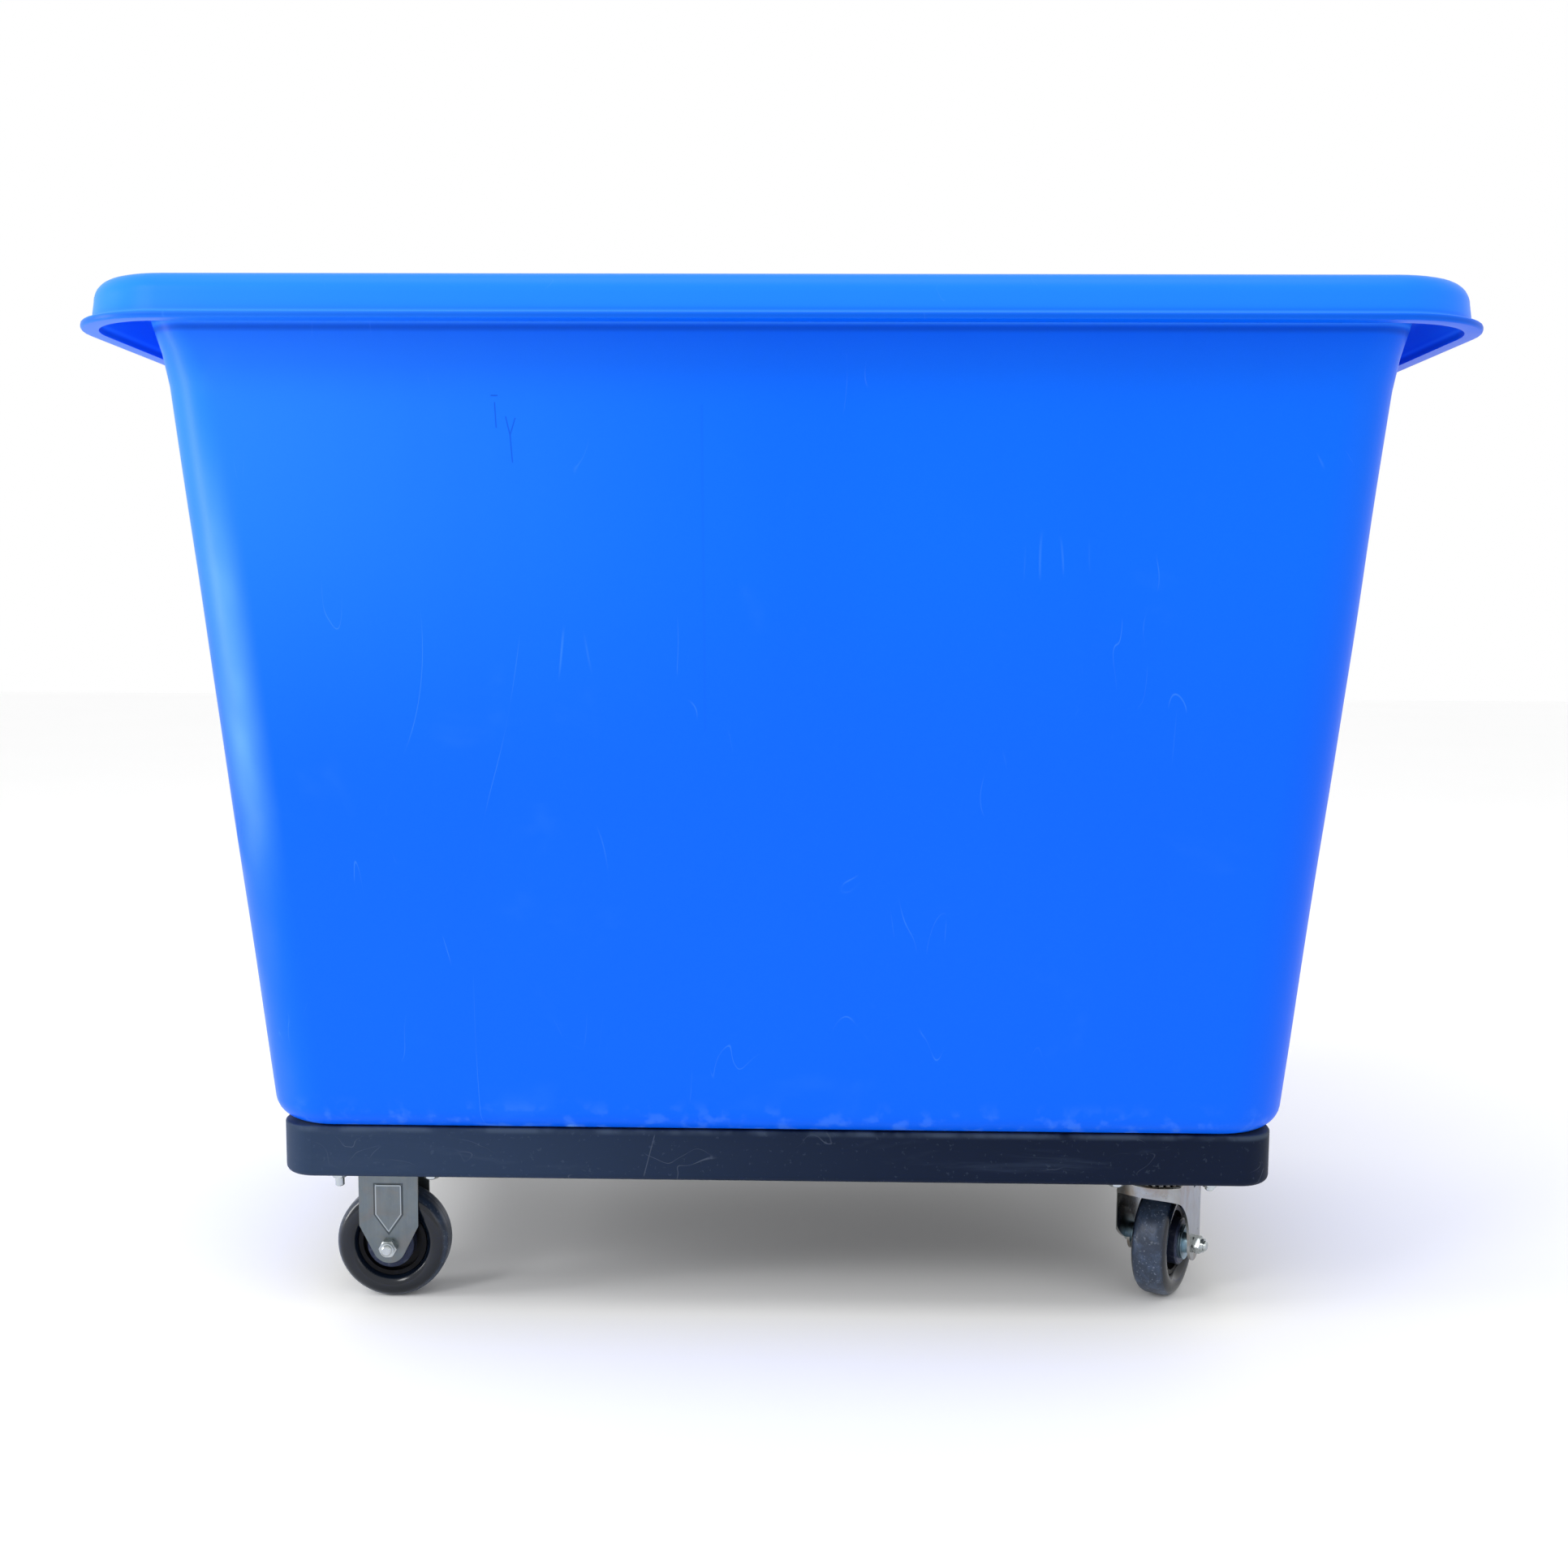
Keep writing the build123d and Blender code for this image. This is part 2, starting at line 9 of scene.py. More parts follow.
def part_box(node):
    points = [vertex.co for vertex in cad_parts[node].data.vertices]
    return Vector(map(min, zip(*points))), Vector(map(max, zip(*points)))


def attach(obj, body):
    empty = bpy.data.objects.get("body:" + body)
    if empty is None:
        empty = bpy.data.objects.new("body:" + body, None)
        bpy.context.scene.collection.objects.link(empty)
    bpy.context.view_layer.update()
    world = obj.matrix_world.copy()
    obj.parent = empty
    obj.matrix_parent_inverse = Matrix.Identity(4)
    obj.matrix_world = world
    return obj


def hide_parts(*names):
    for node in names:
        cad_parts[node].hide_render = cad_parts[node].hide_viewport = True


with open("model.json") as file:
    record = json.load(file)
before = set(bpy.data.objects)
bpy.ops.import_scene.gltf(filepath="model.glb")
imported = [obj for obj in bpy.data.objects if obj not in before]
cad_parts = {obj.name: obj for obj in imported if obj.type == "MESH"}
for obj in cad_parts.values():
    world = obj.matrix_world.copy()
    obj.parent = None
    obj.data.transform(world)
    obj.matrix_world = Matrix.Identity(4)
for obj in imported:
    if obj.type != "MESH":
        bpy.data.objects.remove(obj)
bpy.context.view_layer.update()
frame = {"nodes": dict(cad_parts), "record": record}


# ---- where things are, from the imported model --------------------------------
def lows_highs(node):
    """Lowest and highest corner of a CAD node, as vectors."""
    low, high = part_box(node)
    return Vector(low), Vector(high)


tub_low, tub_high = lows_highs("tub")
base_low, base_high = lows_highs("base")
tyre_low, tyre_high = lows_highs("rigid_near_tyre")
WHEEL_RADIUS = (tyre_high.z - tyre_low.z) / 2
TYRE_HALF_WIDTH = (tyre_high.y - tyre_low.y) / 2
BOSS_EDGE = 0.0208              # radius of the wheel core's boss
# Raised arrow panel on each rigid leg, heights counted from the axle.
PANEL_HALF_WIDTH = 0.0120
PANEL_TOP = 0.0580
PANEL_SHOULDER = 0.0305
PANEL_POINT = 0.0135
JOINTS = {joint["name"]: joint for joint in frame["record"]["behaviour"]["joints"]}


def joint_place(name):
    """Centre of a joint, as a vector."""
    return Vector(JOINTS[name]["pos_m"])


def joint_axis(name):
    """Direction of a joint's axis, as a vector."""
    return Vector(JOINTS[name]["axis"]).normalized()


# ---- shader maths -----------------------------------------------------------
class Signal:
    """A number that varies over a surface. Arithmetic on it adds Math nodes."""

    def __init__(self, finish, socket):
        self.finish = finish
        self.socket = socket

    def math(self, operation, *values):
        return self.finish.node("ShaderNodeMath", {"operation": operation}, dict(enumerate(values)))

    def __add__(self, other):
        return self.math("ADD", self, other)

    def __radd__(self, other):
        return self.math("ADD", other, self)

    def __sub__(self, other):
        return self.math("SUBTRACT", self, other)

    def __rsub__(self, other):
        return self.math("SUBTRACT", other, self)

    def __mul__(self, other):
        return self.math("MULTIPLY", self, other)

    def __rmul__(self, other):
        return self.math("MULTIPLY", other, self)

    def __truediv__(self, other):
        return self.math("DIVIDE", self, other)

    def __pow__(self, other):
        return self.math("POWER", self, other)

    def __abs__(self):
        return self.math("ABSOLUTE", self)

    def most(self, other):
        return self.math("MAXIMUM", self, other)

    def rise(self, low, high):
        """0 below low, 1 above high, smooth between; low above high turns it round."""
        settings = {"interpolation_type": "SMOOTHSTEP"}
        return self.finish.node("ShaderNodeMapRange", settings, {0: self, 1: low, 2: high, 3: 0.0, 4: 1.0})

    def band(self, centre, half_width):
        """1 at centre, fading to 0 at half_width either side."""
        return abs(self - centre).rise(half_width, 0.0)


class Finish:
    """One material: its nodes and its shader."""

    def __init__(self, name):
        self.material = bpy.data.materials.new(name)
        self.material.use_nodes = True
        self.tree = self.material.node_tree
        self.tree.nodes.clear()
        output = self.tree.nodes.new("ShaderNodeOutputMaterial")
        self.shader = self.tree.nodes.new("ShaderNodeBsdfPrincipled")
        self.tree.links.new(self.shader.outputs["BSDF"], output.inputs["Surface"])
        self.place = self.node("ShaderNodeTexCoord", {}, {}, "Object")
        split = self.tree.nodes.new("ShaderNodeSeparateXYZ")
        self.tree.links.new(self.place.socket, split.inputs[0])
        self.x, self.y, self.z = [Signal(self, output) for output in split.outputs]

    def set(self, socket, value):
        """A number or colour set on a socket, or a signal linked to it."""
        if isinstance(value, Signal):
            self.tree.links.new(value.socket, socket)
        else:
            socket.default_value = value

    def node(self, kind, settings, inputs, output=0):
        """Adds a node, its settings first and its sockets after, and gives one output."""
        made = self.tree.nodes.new(kind)
        for key, value in settings.items():
            setattr(made, key, value)
        for key, value in inputs.items():
            self.set(made.inputs[key], value)
        return Signal(self, made.outputs[output])

    def constants(self, **values):
        """Numbers and colours that are the same all over."""
        for key, value in values.items():
            self.shader.inputs[key.replace("_", " ")].default_value = value

    def feed(self, socket, signal):
        self.tree.links.new(signal.socket, self.shader.inputs[socket])

    def mix(self, share, first, second):
        """Colour between first and second."""
        return self.node("ShaderNodeMix", {"data_type": "RGBA"}, {0: share, 6: first, 7: second}, 2)

    def stretched(self, scale):
        """Object coordinates scaled along each axis."""
        return self.node("ShaderNodeMapping", {}, {"Vector": self.place, "Scale": scale})

    def noise(self, scale, detail=3.0, roughness=0.5, distortion=0.0, stretch=(1, 1, 1)):
        sockets = {
            "Vector": self.stretched(stretch), "Scale": scale, "Detail": detail,
            "Roughness": roughness, "Distortion": distortion,
        }
        return self.node("ShaderNodeTexNoise", {}, sockets)

    def scratches(self, scale, width, stretch=(1, 1, 1), keep=0.62):
        """Fine hairline marks: thin level lines of one noise, kept only in patches."""
        lines = self.noise(scale, 1.0, 0.4, 0.6, stretch).band(0.5, width)
        patches = self.noise(scale * 0.7, 2.0, 0.5).rise(keep, keep + 0.1)
        return lines * patches

    def stroke(self, start, end, width):
        """One straight score on the near side, between two (x, z) points."""
        run_x, run_z = end[0] - start[0], end[1] - start[1]
        from_x, from_z = self.x - start[0], self.z - start[1]
        share = (from_x * run_x + from_z * run_z) / (run_x * run_x + run_z * run_z)
        share = self.node("ShaderNodeClamp", {}, {0: share})
        off_x, off_z = from_x - share * run_x, from_z - share * run_z
        gap = (off_x * off_x + off_z * off_z) ** 0.5
        return gap.rise(width, width * 0.3) * self.y.rise(0.0, -0.05)

    def bump(self, *layers):
        """Normal from height layers, each a (height, strength, distance)."""
        normal = None
        for height, strength, distance in layers:
            sockets = {"Height": height, "Strength": strength, "Distance": distance}
            if normal is not None:
                sockets["Normal"] = normal
            normal = self.node("ShaderNodeBump", {}, sockets)
        self.feed("Normal", normal)


def colour(red, green, blue):
    return (red, green, blue, 1.0)


# ---- finishes ---------------------------------------------------------------
# Scores on the near side of the tub, each from (x, z) to (x, z).
SCORES = (
    ((-0.2235, 0.787), (-0.2228, 0.768)),
    ((-0.2150, 0.776), (-0.2118, 0.762)),
    ((-0.2075, 0.775), (-0.2118, 0.762)),
    ((-0.2118, 0.762), (-0.2105, 0.741)),
)


def blue_tub_plastic():
    """Semi-gloss moulded polyethylene, bright blue, with scuffs and hairlines; painted light makes it
    lighter towards the top, the upper left and the rim, with painted highlights on the lip bead and the
    near-left corner and painted shade along the lip and in a crease.
    """
    finish = Finish("blue_tub_plastic")
    cloud = finish.noise(1.6, 3.0, 0.55)
    streaks = finish.noise(5.0, 3.0, 0.6, 0.2, (1.0, 1.0, 0.12))
    speckle = finish.noise(900.0, 2.0, 0.6)
    left = finish.x.rise(tub_high.x * 0.1, tub_low.x)
    height = finish.z.rise(0.45, 0.84)
    deep = colour(0.0, 0.105, 0.80)
    bright = colour(0.0, 0.140, 0.84)
    # Painted light: the wall gets lighter towards the top, mixed with random cloudy tone.
    body = finish.mix(height * 0.7 + cloud * 0.3, deep, bright)
    # Painted light: a broad lighter glow over the upper left of the tub.
    body = finish.mix(left * height * 0.55, body, colour(0.030, 0.245, 0.92))
    body = finish.mix(streaks.rise(0.45, 0.75) * 0.12, body, colour(0.0, 0.085, 0.74))
    body = finish.mix(speckle.rise(0.35, 0.7) * 0.04, body, colour(0.02, 0.2, 0.95))
    # Painted light: the rim and skirt above the lip are lighter, as if lit from above.
    rim = finish.z.rise(tub_high.z - LIP_DROP + 0.006, tub_high.z - LIP_DROP + 0.012)
    body = finish.mix(rim * 0.75, body, colour(0.012, 0.205, 0.86))
    # Painted highlight: a lighter bead along the top edge of the lip.
    lip_bead_highlight = finish.z.band(tub_high.z - LIP_DROP + LIP_THICK + 0.0010, 0.0026)
    body = finish.mix(lip_bead_highlight * 0.5, body, colour(0.060, 0.34, 0.95))
    # Painted shade: a darker band along the lip's outer edge, where it curves under.
    lip = finish.z.band(tub_high.z - LIP_DROP + 0.0025, 0.0042)
    body = finish.mix(lip * 0.55, body, colour(0.0, 0.055, 0.42))
    fine = finish.scratches(22.0, 0.004, (1.0, 1.0, 0.35), 0.6)
    long = finish.scratches(9.0, 0.0022, (1.0, 1.0, 0.12), 0.58)
    rubbed = finish.noise(7.0, 4.0, 0.62, 0.4).rise(0.60, 0.75)
    marks = fine.most(long)
    body = finish.mix(marks * 0.30, body, colour(0.08, 0.30, 0.92))
    body = finish.mix(rubbed * 0.08, body, colour(0.05, 0.24, 0.94))
    past_x = abs(finish.x).rise(foot_half.x - 0.020, foot_half.x - 0.010)
    past_y = abs(finish.y).rise(foot_half.y - 0.020, foot_half.y - 0.010)
    foot_wear = finish.z.rise(base_high.z + 0.035, base_high.z) * past_x.most(past_y)
    foot_wear = foot_wear * finish.noise(60.0, 3.0).rise(0.5, 0.65)
    body = finish.mix(foot_wear * 0.25, body, colour(0.12, 0.32, 0.85))
    # Painted highlight: a pale patchy streak down the near-left corner, standing in for the lamp's
    # reflection there.
    edge_x = foot_half.x + (finish.z - tub_low.z) * wall_lean.x + finish.x
    highlight_patches = 0.55 + 0.45 * finish.noise(9.0, 3.0, 0.6, 0.0, (1.0, 1.0, 0.5)).rise(0.35, 0.6)
    corner = edge_x.band(0.033, 0.026) * finish.z.band(0.57, 0.22) * highlight_patches
    body = finish.mix(corner * 0.60, body, colour(0.170, 0.440, 0.95))
    crumbs = finish.x.band(-0.176, 0.007) * finish.z.band(0.1785, 0.0045)
    crumbs = crumbs * finish.noise(700.0, 2.0).rise(0.42, 0.52)
    body = finish.mix(crumbs, body, colour(0.20, 0.46, 0.95))
    scores = finish.stroke((-0.226, 0.7925), (-0.2215, 0.7925), 0.0010)
    for start, end in SCORES:
        scores = scores.most(finish.stroke(start, end, 0.0008))
    body = finish.mix(scores * 0.55, body, colour(0.0, 0.050, 0.45))
    # Painted shade: a faint darker line down a crease in the near wall.
    crease_shade = finish.stroke((-0.059, 0.785), (-0.0575, 0.526), 0.0016)
    body = finish.mix(crease_shade * 0.16, body, colour(0.0, 0.08, 0.66))
    finish.feed("Base Color", body)
    finish.feed("Roughness", 0.32 + cloud * 0.08 + rubbed * 0.12 + marks * 0.2)
    finish.constants(Specular_IOR_Level=0.09, IOR=1.5)
    finish.bump(
        (finish.noise(3.5, 2.0, 0.5), 0.35, 0.004),
        (finish.noise(420.0, 2.0, 0.5), 0.10, 0.0003),
        (marks.most(scores), 0.4, -0.00015),
    )
    return finish.material


def black_base_plastic():
    """Satin black moulded base with grey scuffs and a paler rubbed top edge; painted light makes it
    lighter towards the left.
    """
    finish = Finish("black_base_plastic")
    cloud = finish.noise(6.0, 4.0, 0.6)
    scuffs = finish.noise(14.0, 5.0, 0.66, 0.5, (0.35, 1.0, 2.2)).rise(0.54, 0.72)
    specks = finish.noise(240.0, 2.0, 0.6).rise(0.64, 0.72)
    # Painted light: the base gets lighter towards the left, mixed with random cloudy tone.
    left = finish.x.rise(base_high.x, base_low.x)
    dark, pale = colour(0.002, 0.006, 0.020), colour(0.022, 0.040, 0.080)
    body = finish.mix(left * left * 0.9 + cloud * 0.1, dark, pale)
    body = finish.mix(scuffs * 0.30, body, colour(0.040, 0.060, 0.100))
    body = finish.mix(specks * 0.10, body, colour(0.12, 0.16, 0.22))
    top_edge = finish.z.rise(base_high.z - 0.006, base_high.z - 0.002)
    top_edge = top_edge * finish.noise(30.0, 3.0).rise(0.35, 0.6)
    body = finish.mix(top_edge * 0.30, body, colour(0.10, 0.14, 0.20))
    hairs = finish.scratches(26.0, 0.006, (0.8, 1.0, 1.3), 0.56)
    arc_x = finish.x - (base_high.z - finish.z) * -0.26
    arc = arc_x.band(-0.1028, 0.0007) * finish.y.rise(base_low.y + 0.004, base_low.y + 0.002)
    marks = hairs.most(arc * finish.z.band((base_low.z + base_high.z) / 2, 0.021).rise(0.0, 0.1))
    body = finish.mix(marks * 0.25, body, colour(0.16, 0.19, 0.25))
    finish.feed("Base Color", body)
    finish.feed("Roughness", 0.42 + cloud * 0.12 + scuffs * 0.12 - top_edge * 0.08)
    finish.constants(Specular_IOR_Level=0.08)
    finish.bump(
        (finish.noise(300.0, 3.0, 0.6), 0.18, 0.0004),
        (scuffs, 0.15, 0.0002),
        (marks, 0.5, -0.0002),
    )
    return finish.material


def tyre_black(name, reach):
    """Hard glossy black tread; the running band is rubbed to a blue-grey."""
    finish = Finish(name)
    cloud = finish.noise(45.0, 4.0, 0.6)
    worn = finish.noise(70.0, 5.0, 0.7, 0.6).rise(0.46, 0.66)
    grit = finish.noise(420.0, 3.0, 0.7).rise(0.60, 0.68)
    rub = reach(finish).rise(WHEEL_RADIUS - 0.0050, WHEEL_RADIUS - 0.0012)
    body = finish.mix(cloud, colour(0.001, 0.002, 0.005), colour(0.004, 0.008, 0.017))
    body = finish.mix(rub * (0.45 + worn * 0.55) * 0.60, body, colour(0.055, 0.090, 0.165))
    body = finish.mix(rub * grit * 0.35, body, colour(0.33, 0.38, 0.46))
    finish.feed("Base Color", body)
    finish.feed("Roughness", 0.13 + cloud * 0.06 + rub * 0.22)
    finish.constants(Specular_IOR_Level=0.42)
    finish.bump((grit * rub, 0.3, 0.0002), (finish.noise(160.0, 3.0), 0.12, 0.0003))
    return finish.material


def wheel_reach(place_name):
    """Distance from one wheel's axle line, as a signal of a finish."""
    centre = joint_place(place_name)
    axis = joint_axis(place_name)

    def reach(finish):
        dx = finish.x - centre.x
        dy = finish.y - centre.y
        dz = finish.z - centre.z
        along = dx * axis.x + dy * axis.y
        return (dx * dx + dy * dy + dz * dz - along * along) ** 0.5

    return reach


def hub_plastic(name, wheel_reach):
    """Moulded wheel core: blue-grey worn boss, black web and rim."""
    finish = Finish(name)
    cloud = finish.noise(60.0, 4.0, 0.6)
    boss = wheel_reach(finish).rise(BOSS_EDGE + 0.0008, BOSS_EDGE - 0.0004)
    dust = finish.noise(180.0, 4.0, 0.7).rise(0.5, 0.7)
    body = finish.mix(cloud, colour(0.014, 0.018, 0.040), colour(0.034, 0.044, 0.085))
    body = finish.mix(dust * 0.25, body, colour(0.16, 0.18, 0.22))
    web = finish.mix(dust, colour(0.001, 0.001, 0.002), colour(0.004, 0.005, 0.009))
    body = finish.mix(boss, web, body)
    finish.feed("Base Color", body)
    finish.feed("Roughness", 0.30 + dust * 0.2)
    finish.constants(Specular_IOR_Level=0.12)
    finish.bump((finish.noise(260.0, 3.0), 0.15, 0.0003))
    return finish.material


def panel_edge(finish):
    """Distance outside the raised arrow panel of a rigid bracket, as a signal; it places the painted shade
    and highlight lines along the panel's outline.
    """
    centre = joint_place("rigid_wheel_near_roll")
    across = abs(finish.x - centre.x)
    up = finish.z - centre.z
    run = Vector((PANEL_HALF_WIDTH, PANEL_SHOULDER - PANEL_POINT)).normalized()
    slant = across * run.y - (up - PANEL_POINT) * run.x
    return (across - PANEL_HALF_WIDTH).most(up - PANEL_TOP).most(slant)


def zinc(name, dark, light, smooth, rough, warm=0.0, edge=None):
    """Zinc plate: fine drawn grain, cloudy blotches and a few dull spots; given an edge, it also gets
    painted shade and a painted highlight along a raised panel's outline.
    """
    finish = Finish(name)
    cloud = finish.noise(55.0, 4.0, 0.6, 0.4)
    drawn = finish.noise(260.0, 3.0, 0.6, 0.0, (1.0, 1.0, 0.08))
    spots = finish.noise(210.0, 4.0, 0.7).rise(0.62, 0.72)
    body = finish.mix(cloud * 0.6 + drawn * 0.4, dark, light)
    tint = finish.noise(32.0, 3.0, 0.55, 0.8).rise(0.45, 0.7)
    body = finish.mix(tint * warm, body, colour(0.22, 0.165, 0.12))
    body = finish.mix(spots * 0.35, body, colour(0.22, 0.22, 0.22))
    if edge:
        outside = edge(finish)
        # Painted shade just outside the raised panel's edge, and a painted highlight just inside it.
        body = finish.mix(outside.band(0.0008, 0.0012) * 0.75, body, colour(0.020, 0.025, 0.030))
        body = finish.mix(outside.band(-0.0007, 0.0008) * 0.45, body, colour(0.62, 0.68, 0.70))
    finish.feed("Base Color", body)
    finish.feed("Metallic", 1.0 - spots * 0.35)
    finish.feed("Roughness", smooth + cloud * (rough - smooth) + spots * 0.2)
    finish.bump((drawn, 0.10, 0.0002), (spots, 0.12, -0.0002))
    return finish.material


def floor_paint():
    """Plain pale studio floor."""
    finish = Finish("pale_floor")
    cloud = finish.noise(1.2, 2.0)
    finish.feed("Base Color", finish.mix(cloud, colour(0.955, 0.955, 0.955), colour(0.975, 0.975, 0.975)))
    finish.feed("Roughness", 0.6 + cloud * 0.1)
    return finish.material


# ---- modelling helpers ------------------------------------------------------
def start_mesh(name):
    """Deselects all and starts an empty piece in edit mode."""
    if bpy.context.mode != "OBJECT":
        bpy.ops.object.mode_set(mode="OBJECT")
    bpy.ops.object.select_all(action="DESELECT")
    bpy.ops.mesh.primitive_plane_add(size=1.0, location=(0, 0, 0))
    piece = bpy.context.object
    piece.name = name
    piece.data.name = name
    bpy.ops.object.mode_set(mode="EDIT")
    bpy.ops.mesh.select_all(action="SELECT")
    bpy.ops.mesh.delete(type="VERT")
    return piece


def end_mesh(piece, material, body, smooth_angle=40.0):
    """Leaves edit mode, smooths, gives the finish and rides on a body."""
    bpy.ops.mesh.select_all(action="SELECT")
    bpy.ops.mesh.remove_doubles(threshold=1e-6)
    bpy.ops.mesh.normals_make_consistent(inside=False)
    bpy.ops.object.mode_set(mode="OBJECT")
    bpy.ops.object.shade_smooth_by_angle(angle=radians(smooth_angle))
    piece.data.materials.clear()
    piece.data.materials.append(material)
    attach(piece, body)


def edit_mesh(piece):
    mesh = bmesh.from_edit_mesh(piece.data)
    mesh.verts.ensure_lookup_table()
    mesh.edges.ensure_lookup_table()
    mesh.faces.ensure_lookup_table()
    return mesh


def select_where(piece, kind, test):
    """In edit mode, selects only the vertices, edges or faces that pass a test."""
    bpy.ops.mesh.select_all(action="DESELECT")
    bpy.ops.mesh.select_mode(type={"verts": "VERT", "edges": "EDGE", "faces": "FACE"}[kind])
    mesh = edit_mesh(piece)
    for item in getattr(mesh, kind):
        if test(item):
            item.select_set(True)
    mesh.select_flush_mode()
    bmesh.update_edit_mesh(piece.data)


# ---- tub --------------------------------------------------------------------
WALL = 0.005
FLOOR = 0.006
FOOT_CORNER = 0.060             # plan radius at the foot
TOP_CORNER = 0.050              # plan radius where the corners start to tighten
RIM_CORNER = 0.030              # plan radius under the rim
CORNER_FLARE = 0.034            # height over which the corners tighten
FOOT_ROUND = 0.020              # wall to floor, outside
FOOT_PAST_BASE = 0.0105         # foot of the wall beyond the base
RIM_REACH = 0.0542              # top of the wall to the lip's edge
RIM_START_DROP = 0.032          # top of the rim down to the top of the wall
FLARE = 0.022
RIM_ROUND = 0.017
SKIRT_SLANT = 0.002
LIP_STAND = 0.0084              # lip beyond the skirt
LIP_THICK = 0.0057
LIP_DROP = 0.0382               # top of the rim down to the underside of the lip
LIP_ROUND = 0.002
CORNER_STEPS = 12
SIDE_CUTS = 23
END_CUTS = 13
WALL_STEPS = 26
LEVEL_GAP = 0.00003             # least step in height between two rings

rim_start = tub_high.z - RIM_START_DROP
top_half = Vector((tub_high.x - RIM_REACH, tub_high.y - RIM_REACH))
foot_half = Vector((base_high.x + FOOT_PAST_BASE, base_high.y + FOOT_PAST_BASE))
wall_lean = (top_half - foot_half) / (rim_start - tub_low.z)


def wall_ring(out, z):
    """Ring that lies out from the drafted wall line at height z."""
    half = foot_half + wall_lean * (z - tub_low.z)
    rise = min(1.0, (z - tub_low.z) / (rim_start - CORNER_FLARE - tub_low.z))
    tighten = min(1.0, max(0.0, (z - rim_start) / CORNER_FLARE + 1))
    corner = FOOT_CORNER + rise * (TOP_CORNER - FOOT_CORNER) + tighten * (RIM_CORNER - TOP_CORNER)
    return (half.x + out, half.y + out, corner + out, z)


def rim_ring(out, z):
    """Ring that lies out from the top of the wall, for the rolled rim."""
    return (top_half.x + out, top_half.y + out, RIM_CORNER + out, z)


def arc(centre_out, centre_z, radius, start, end, steps):
    """Points (out, z) along an arc; angles in degrees from straight out."""
    points = []
    for step in range(steps + 1):
        angle = radians(start + (end - start) * step / steps)
        points.append((centre_out + radius * cos(angle), centre_z + radius * sin(angle)))
    return points


def tub_rings():
    """All rings, from the outer foot over the rim and down to the inner floor."""
    shelf = tub_high.z - WALL
    lip = tub_high.z - LIP_DROP
    lip_top = lip + LIP_THICK
    skirt_low = RIM_REACH - LIP_STAND
    skirt_high = skirt_low - SKIRT_SLANT
    lean_out = wall_lean.x * (shelf - rim_start)
    inner_round = FOOT_ROUND - WALL
    rings = []
    for out, z in arc(-FOOT_ROUND, tub_low.z + FOOT_ROUND, FOOT_ROUND, -90, 0, 7):
        rings.append(wall_ring(out, z))
    low = tub_low.z + FOOT_ROUND
    high = shelf - FLARE
    for step in range(1, WALL_STEPS):
        rings.append(wall_ring(0, low + (high - low) * step / WALL_STEPS))
    profile = arc(lean_out + FLARE, high, FLARE, 180, 90, 8)
    profile += arc(skirt_high - RIM_ROUND, shelf - RIM_ROUND + WALL, RIM_ROUND - WALL, 90, 0, 6)
    profile += [(skirt_low - WALL, lip)]
    profile += arc(RIM_REACH - LIP_ROUND, lip + LIP_ROUND, LIP_ROUND, -90, 0, 3)
    profile += arc(RIM_REACH - LIP_ROUND, lip_top - LIP_ROUND, LIP_ROUND, 0, 90, 3)
    profile += arc(skirt_low + LIP_ROUND, lip_top + LIP_ROUND, LIP_ROUND, -90, -180, 3)
    profile += arc(skirt_high - RIM_ROUND, tub_high.z - RIM_ROUND, RIM_ROUND, 0, 90, 8)
    inner_lean = wall_lean.x * RIM_START_DROP - WALL
    crown = FLARE + WALL
    profile += arc(inner_lean + crown, tub_high.z - crown, crown, 90, 180, 9)
    rings += [rim_ring(out, z) for out, z in profile]
    low = tub_low.z + FLOOR + inner_round
    high = tub_high.z - crown
    for step in range(1, WALL_STEPS + 1):
        rings.append(wall_ring(-WALL, high + (low - high) * step / WALL_STEPS))
    for out, z in arc(-WALL - inner_round, low, inner_round, 0, -90, 6)[1:]:
        rings.append(wall_ring(out, z))
    return [part_levels(ring, before) for ring, before in zip(rings, [rings[-1]] + rings)]


def part_levels(ring, before):
    """Moves a ring a hair off the level of the one before, or the bridge between them twists."""
    level = ring[3] + LEVEL_GAP if abs(ring[3] - before[3]) < LEVEL_GAP / 2 else ring[3]
    return ring[:3] + (level,)


def new_edges(mesh, first):
    """Edges whose vertices all came after the first so many."""
    return [edge for edge in mesh.edges if min(end.index for end in edge.verts) >= first]


def add_ring(piece, first, half_x, half_y, corner, z):
    """In edit mode, adds one rounded rectangle of edges, its straight sides cut evenly."""
    bpy.ops.mesh.select_all(action="DESELECT")
    bpy.ops.mesh.primitive_plane_add(size=1.0, location=(0, 0, z))
    bpy.ops.transform.resize(value=(2 * half_x, 2 * half_y, 1), center_override=(0, 0, z))
    bpy.ops.mesh.bevel(offset=corner, segments=CORNER_STEPS, affect="VERTICES")
    bpy.ops.mesh.delete(type="ONLY_FACE")
    for way, cuts in ((0, SIDE_CUTS), (1, END_CUTS)):
        bpy.ops.mesh.select_all(action="DESELECT")
        mesh = edit_mesh(piece)
        for edge in new_edges(mesh, first):
            run = edge.verts[1].co - edge.verts[0].co
            if abs(run[way]) > 0.3 and abs(run[1 - way]) < 1e-5:
                edge.select_set(True)
        bmesh.update_edit_mesh(piece.data)
        bpy.ops.mesh.subdivide(number_cuts=cuts)
    return len(edit_mesh(piece).verts)


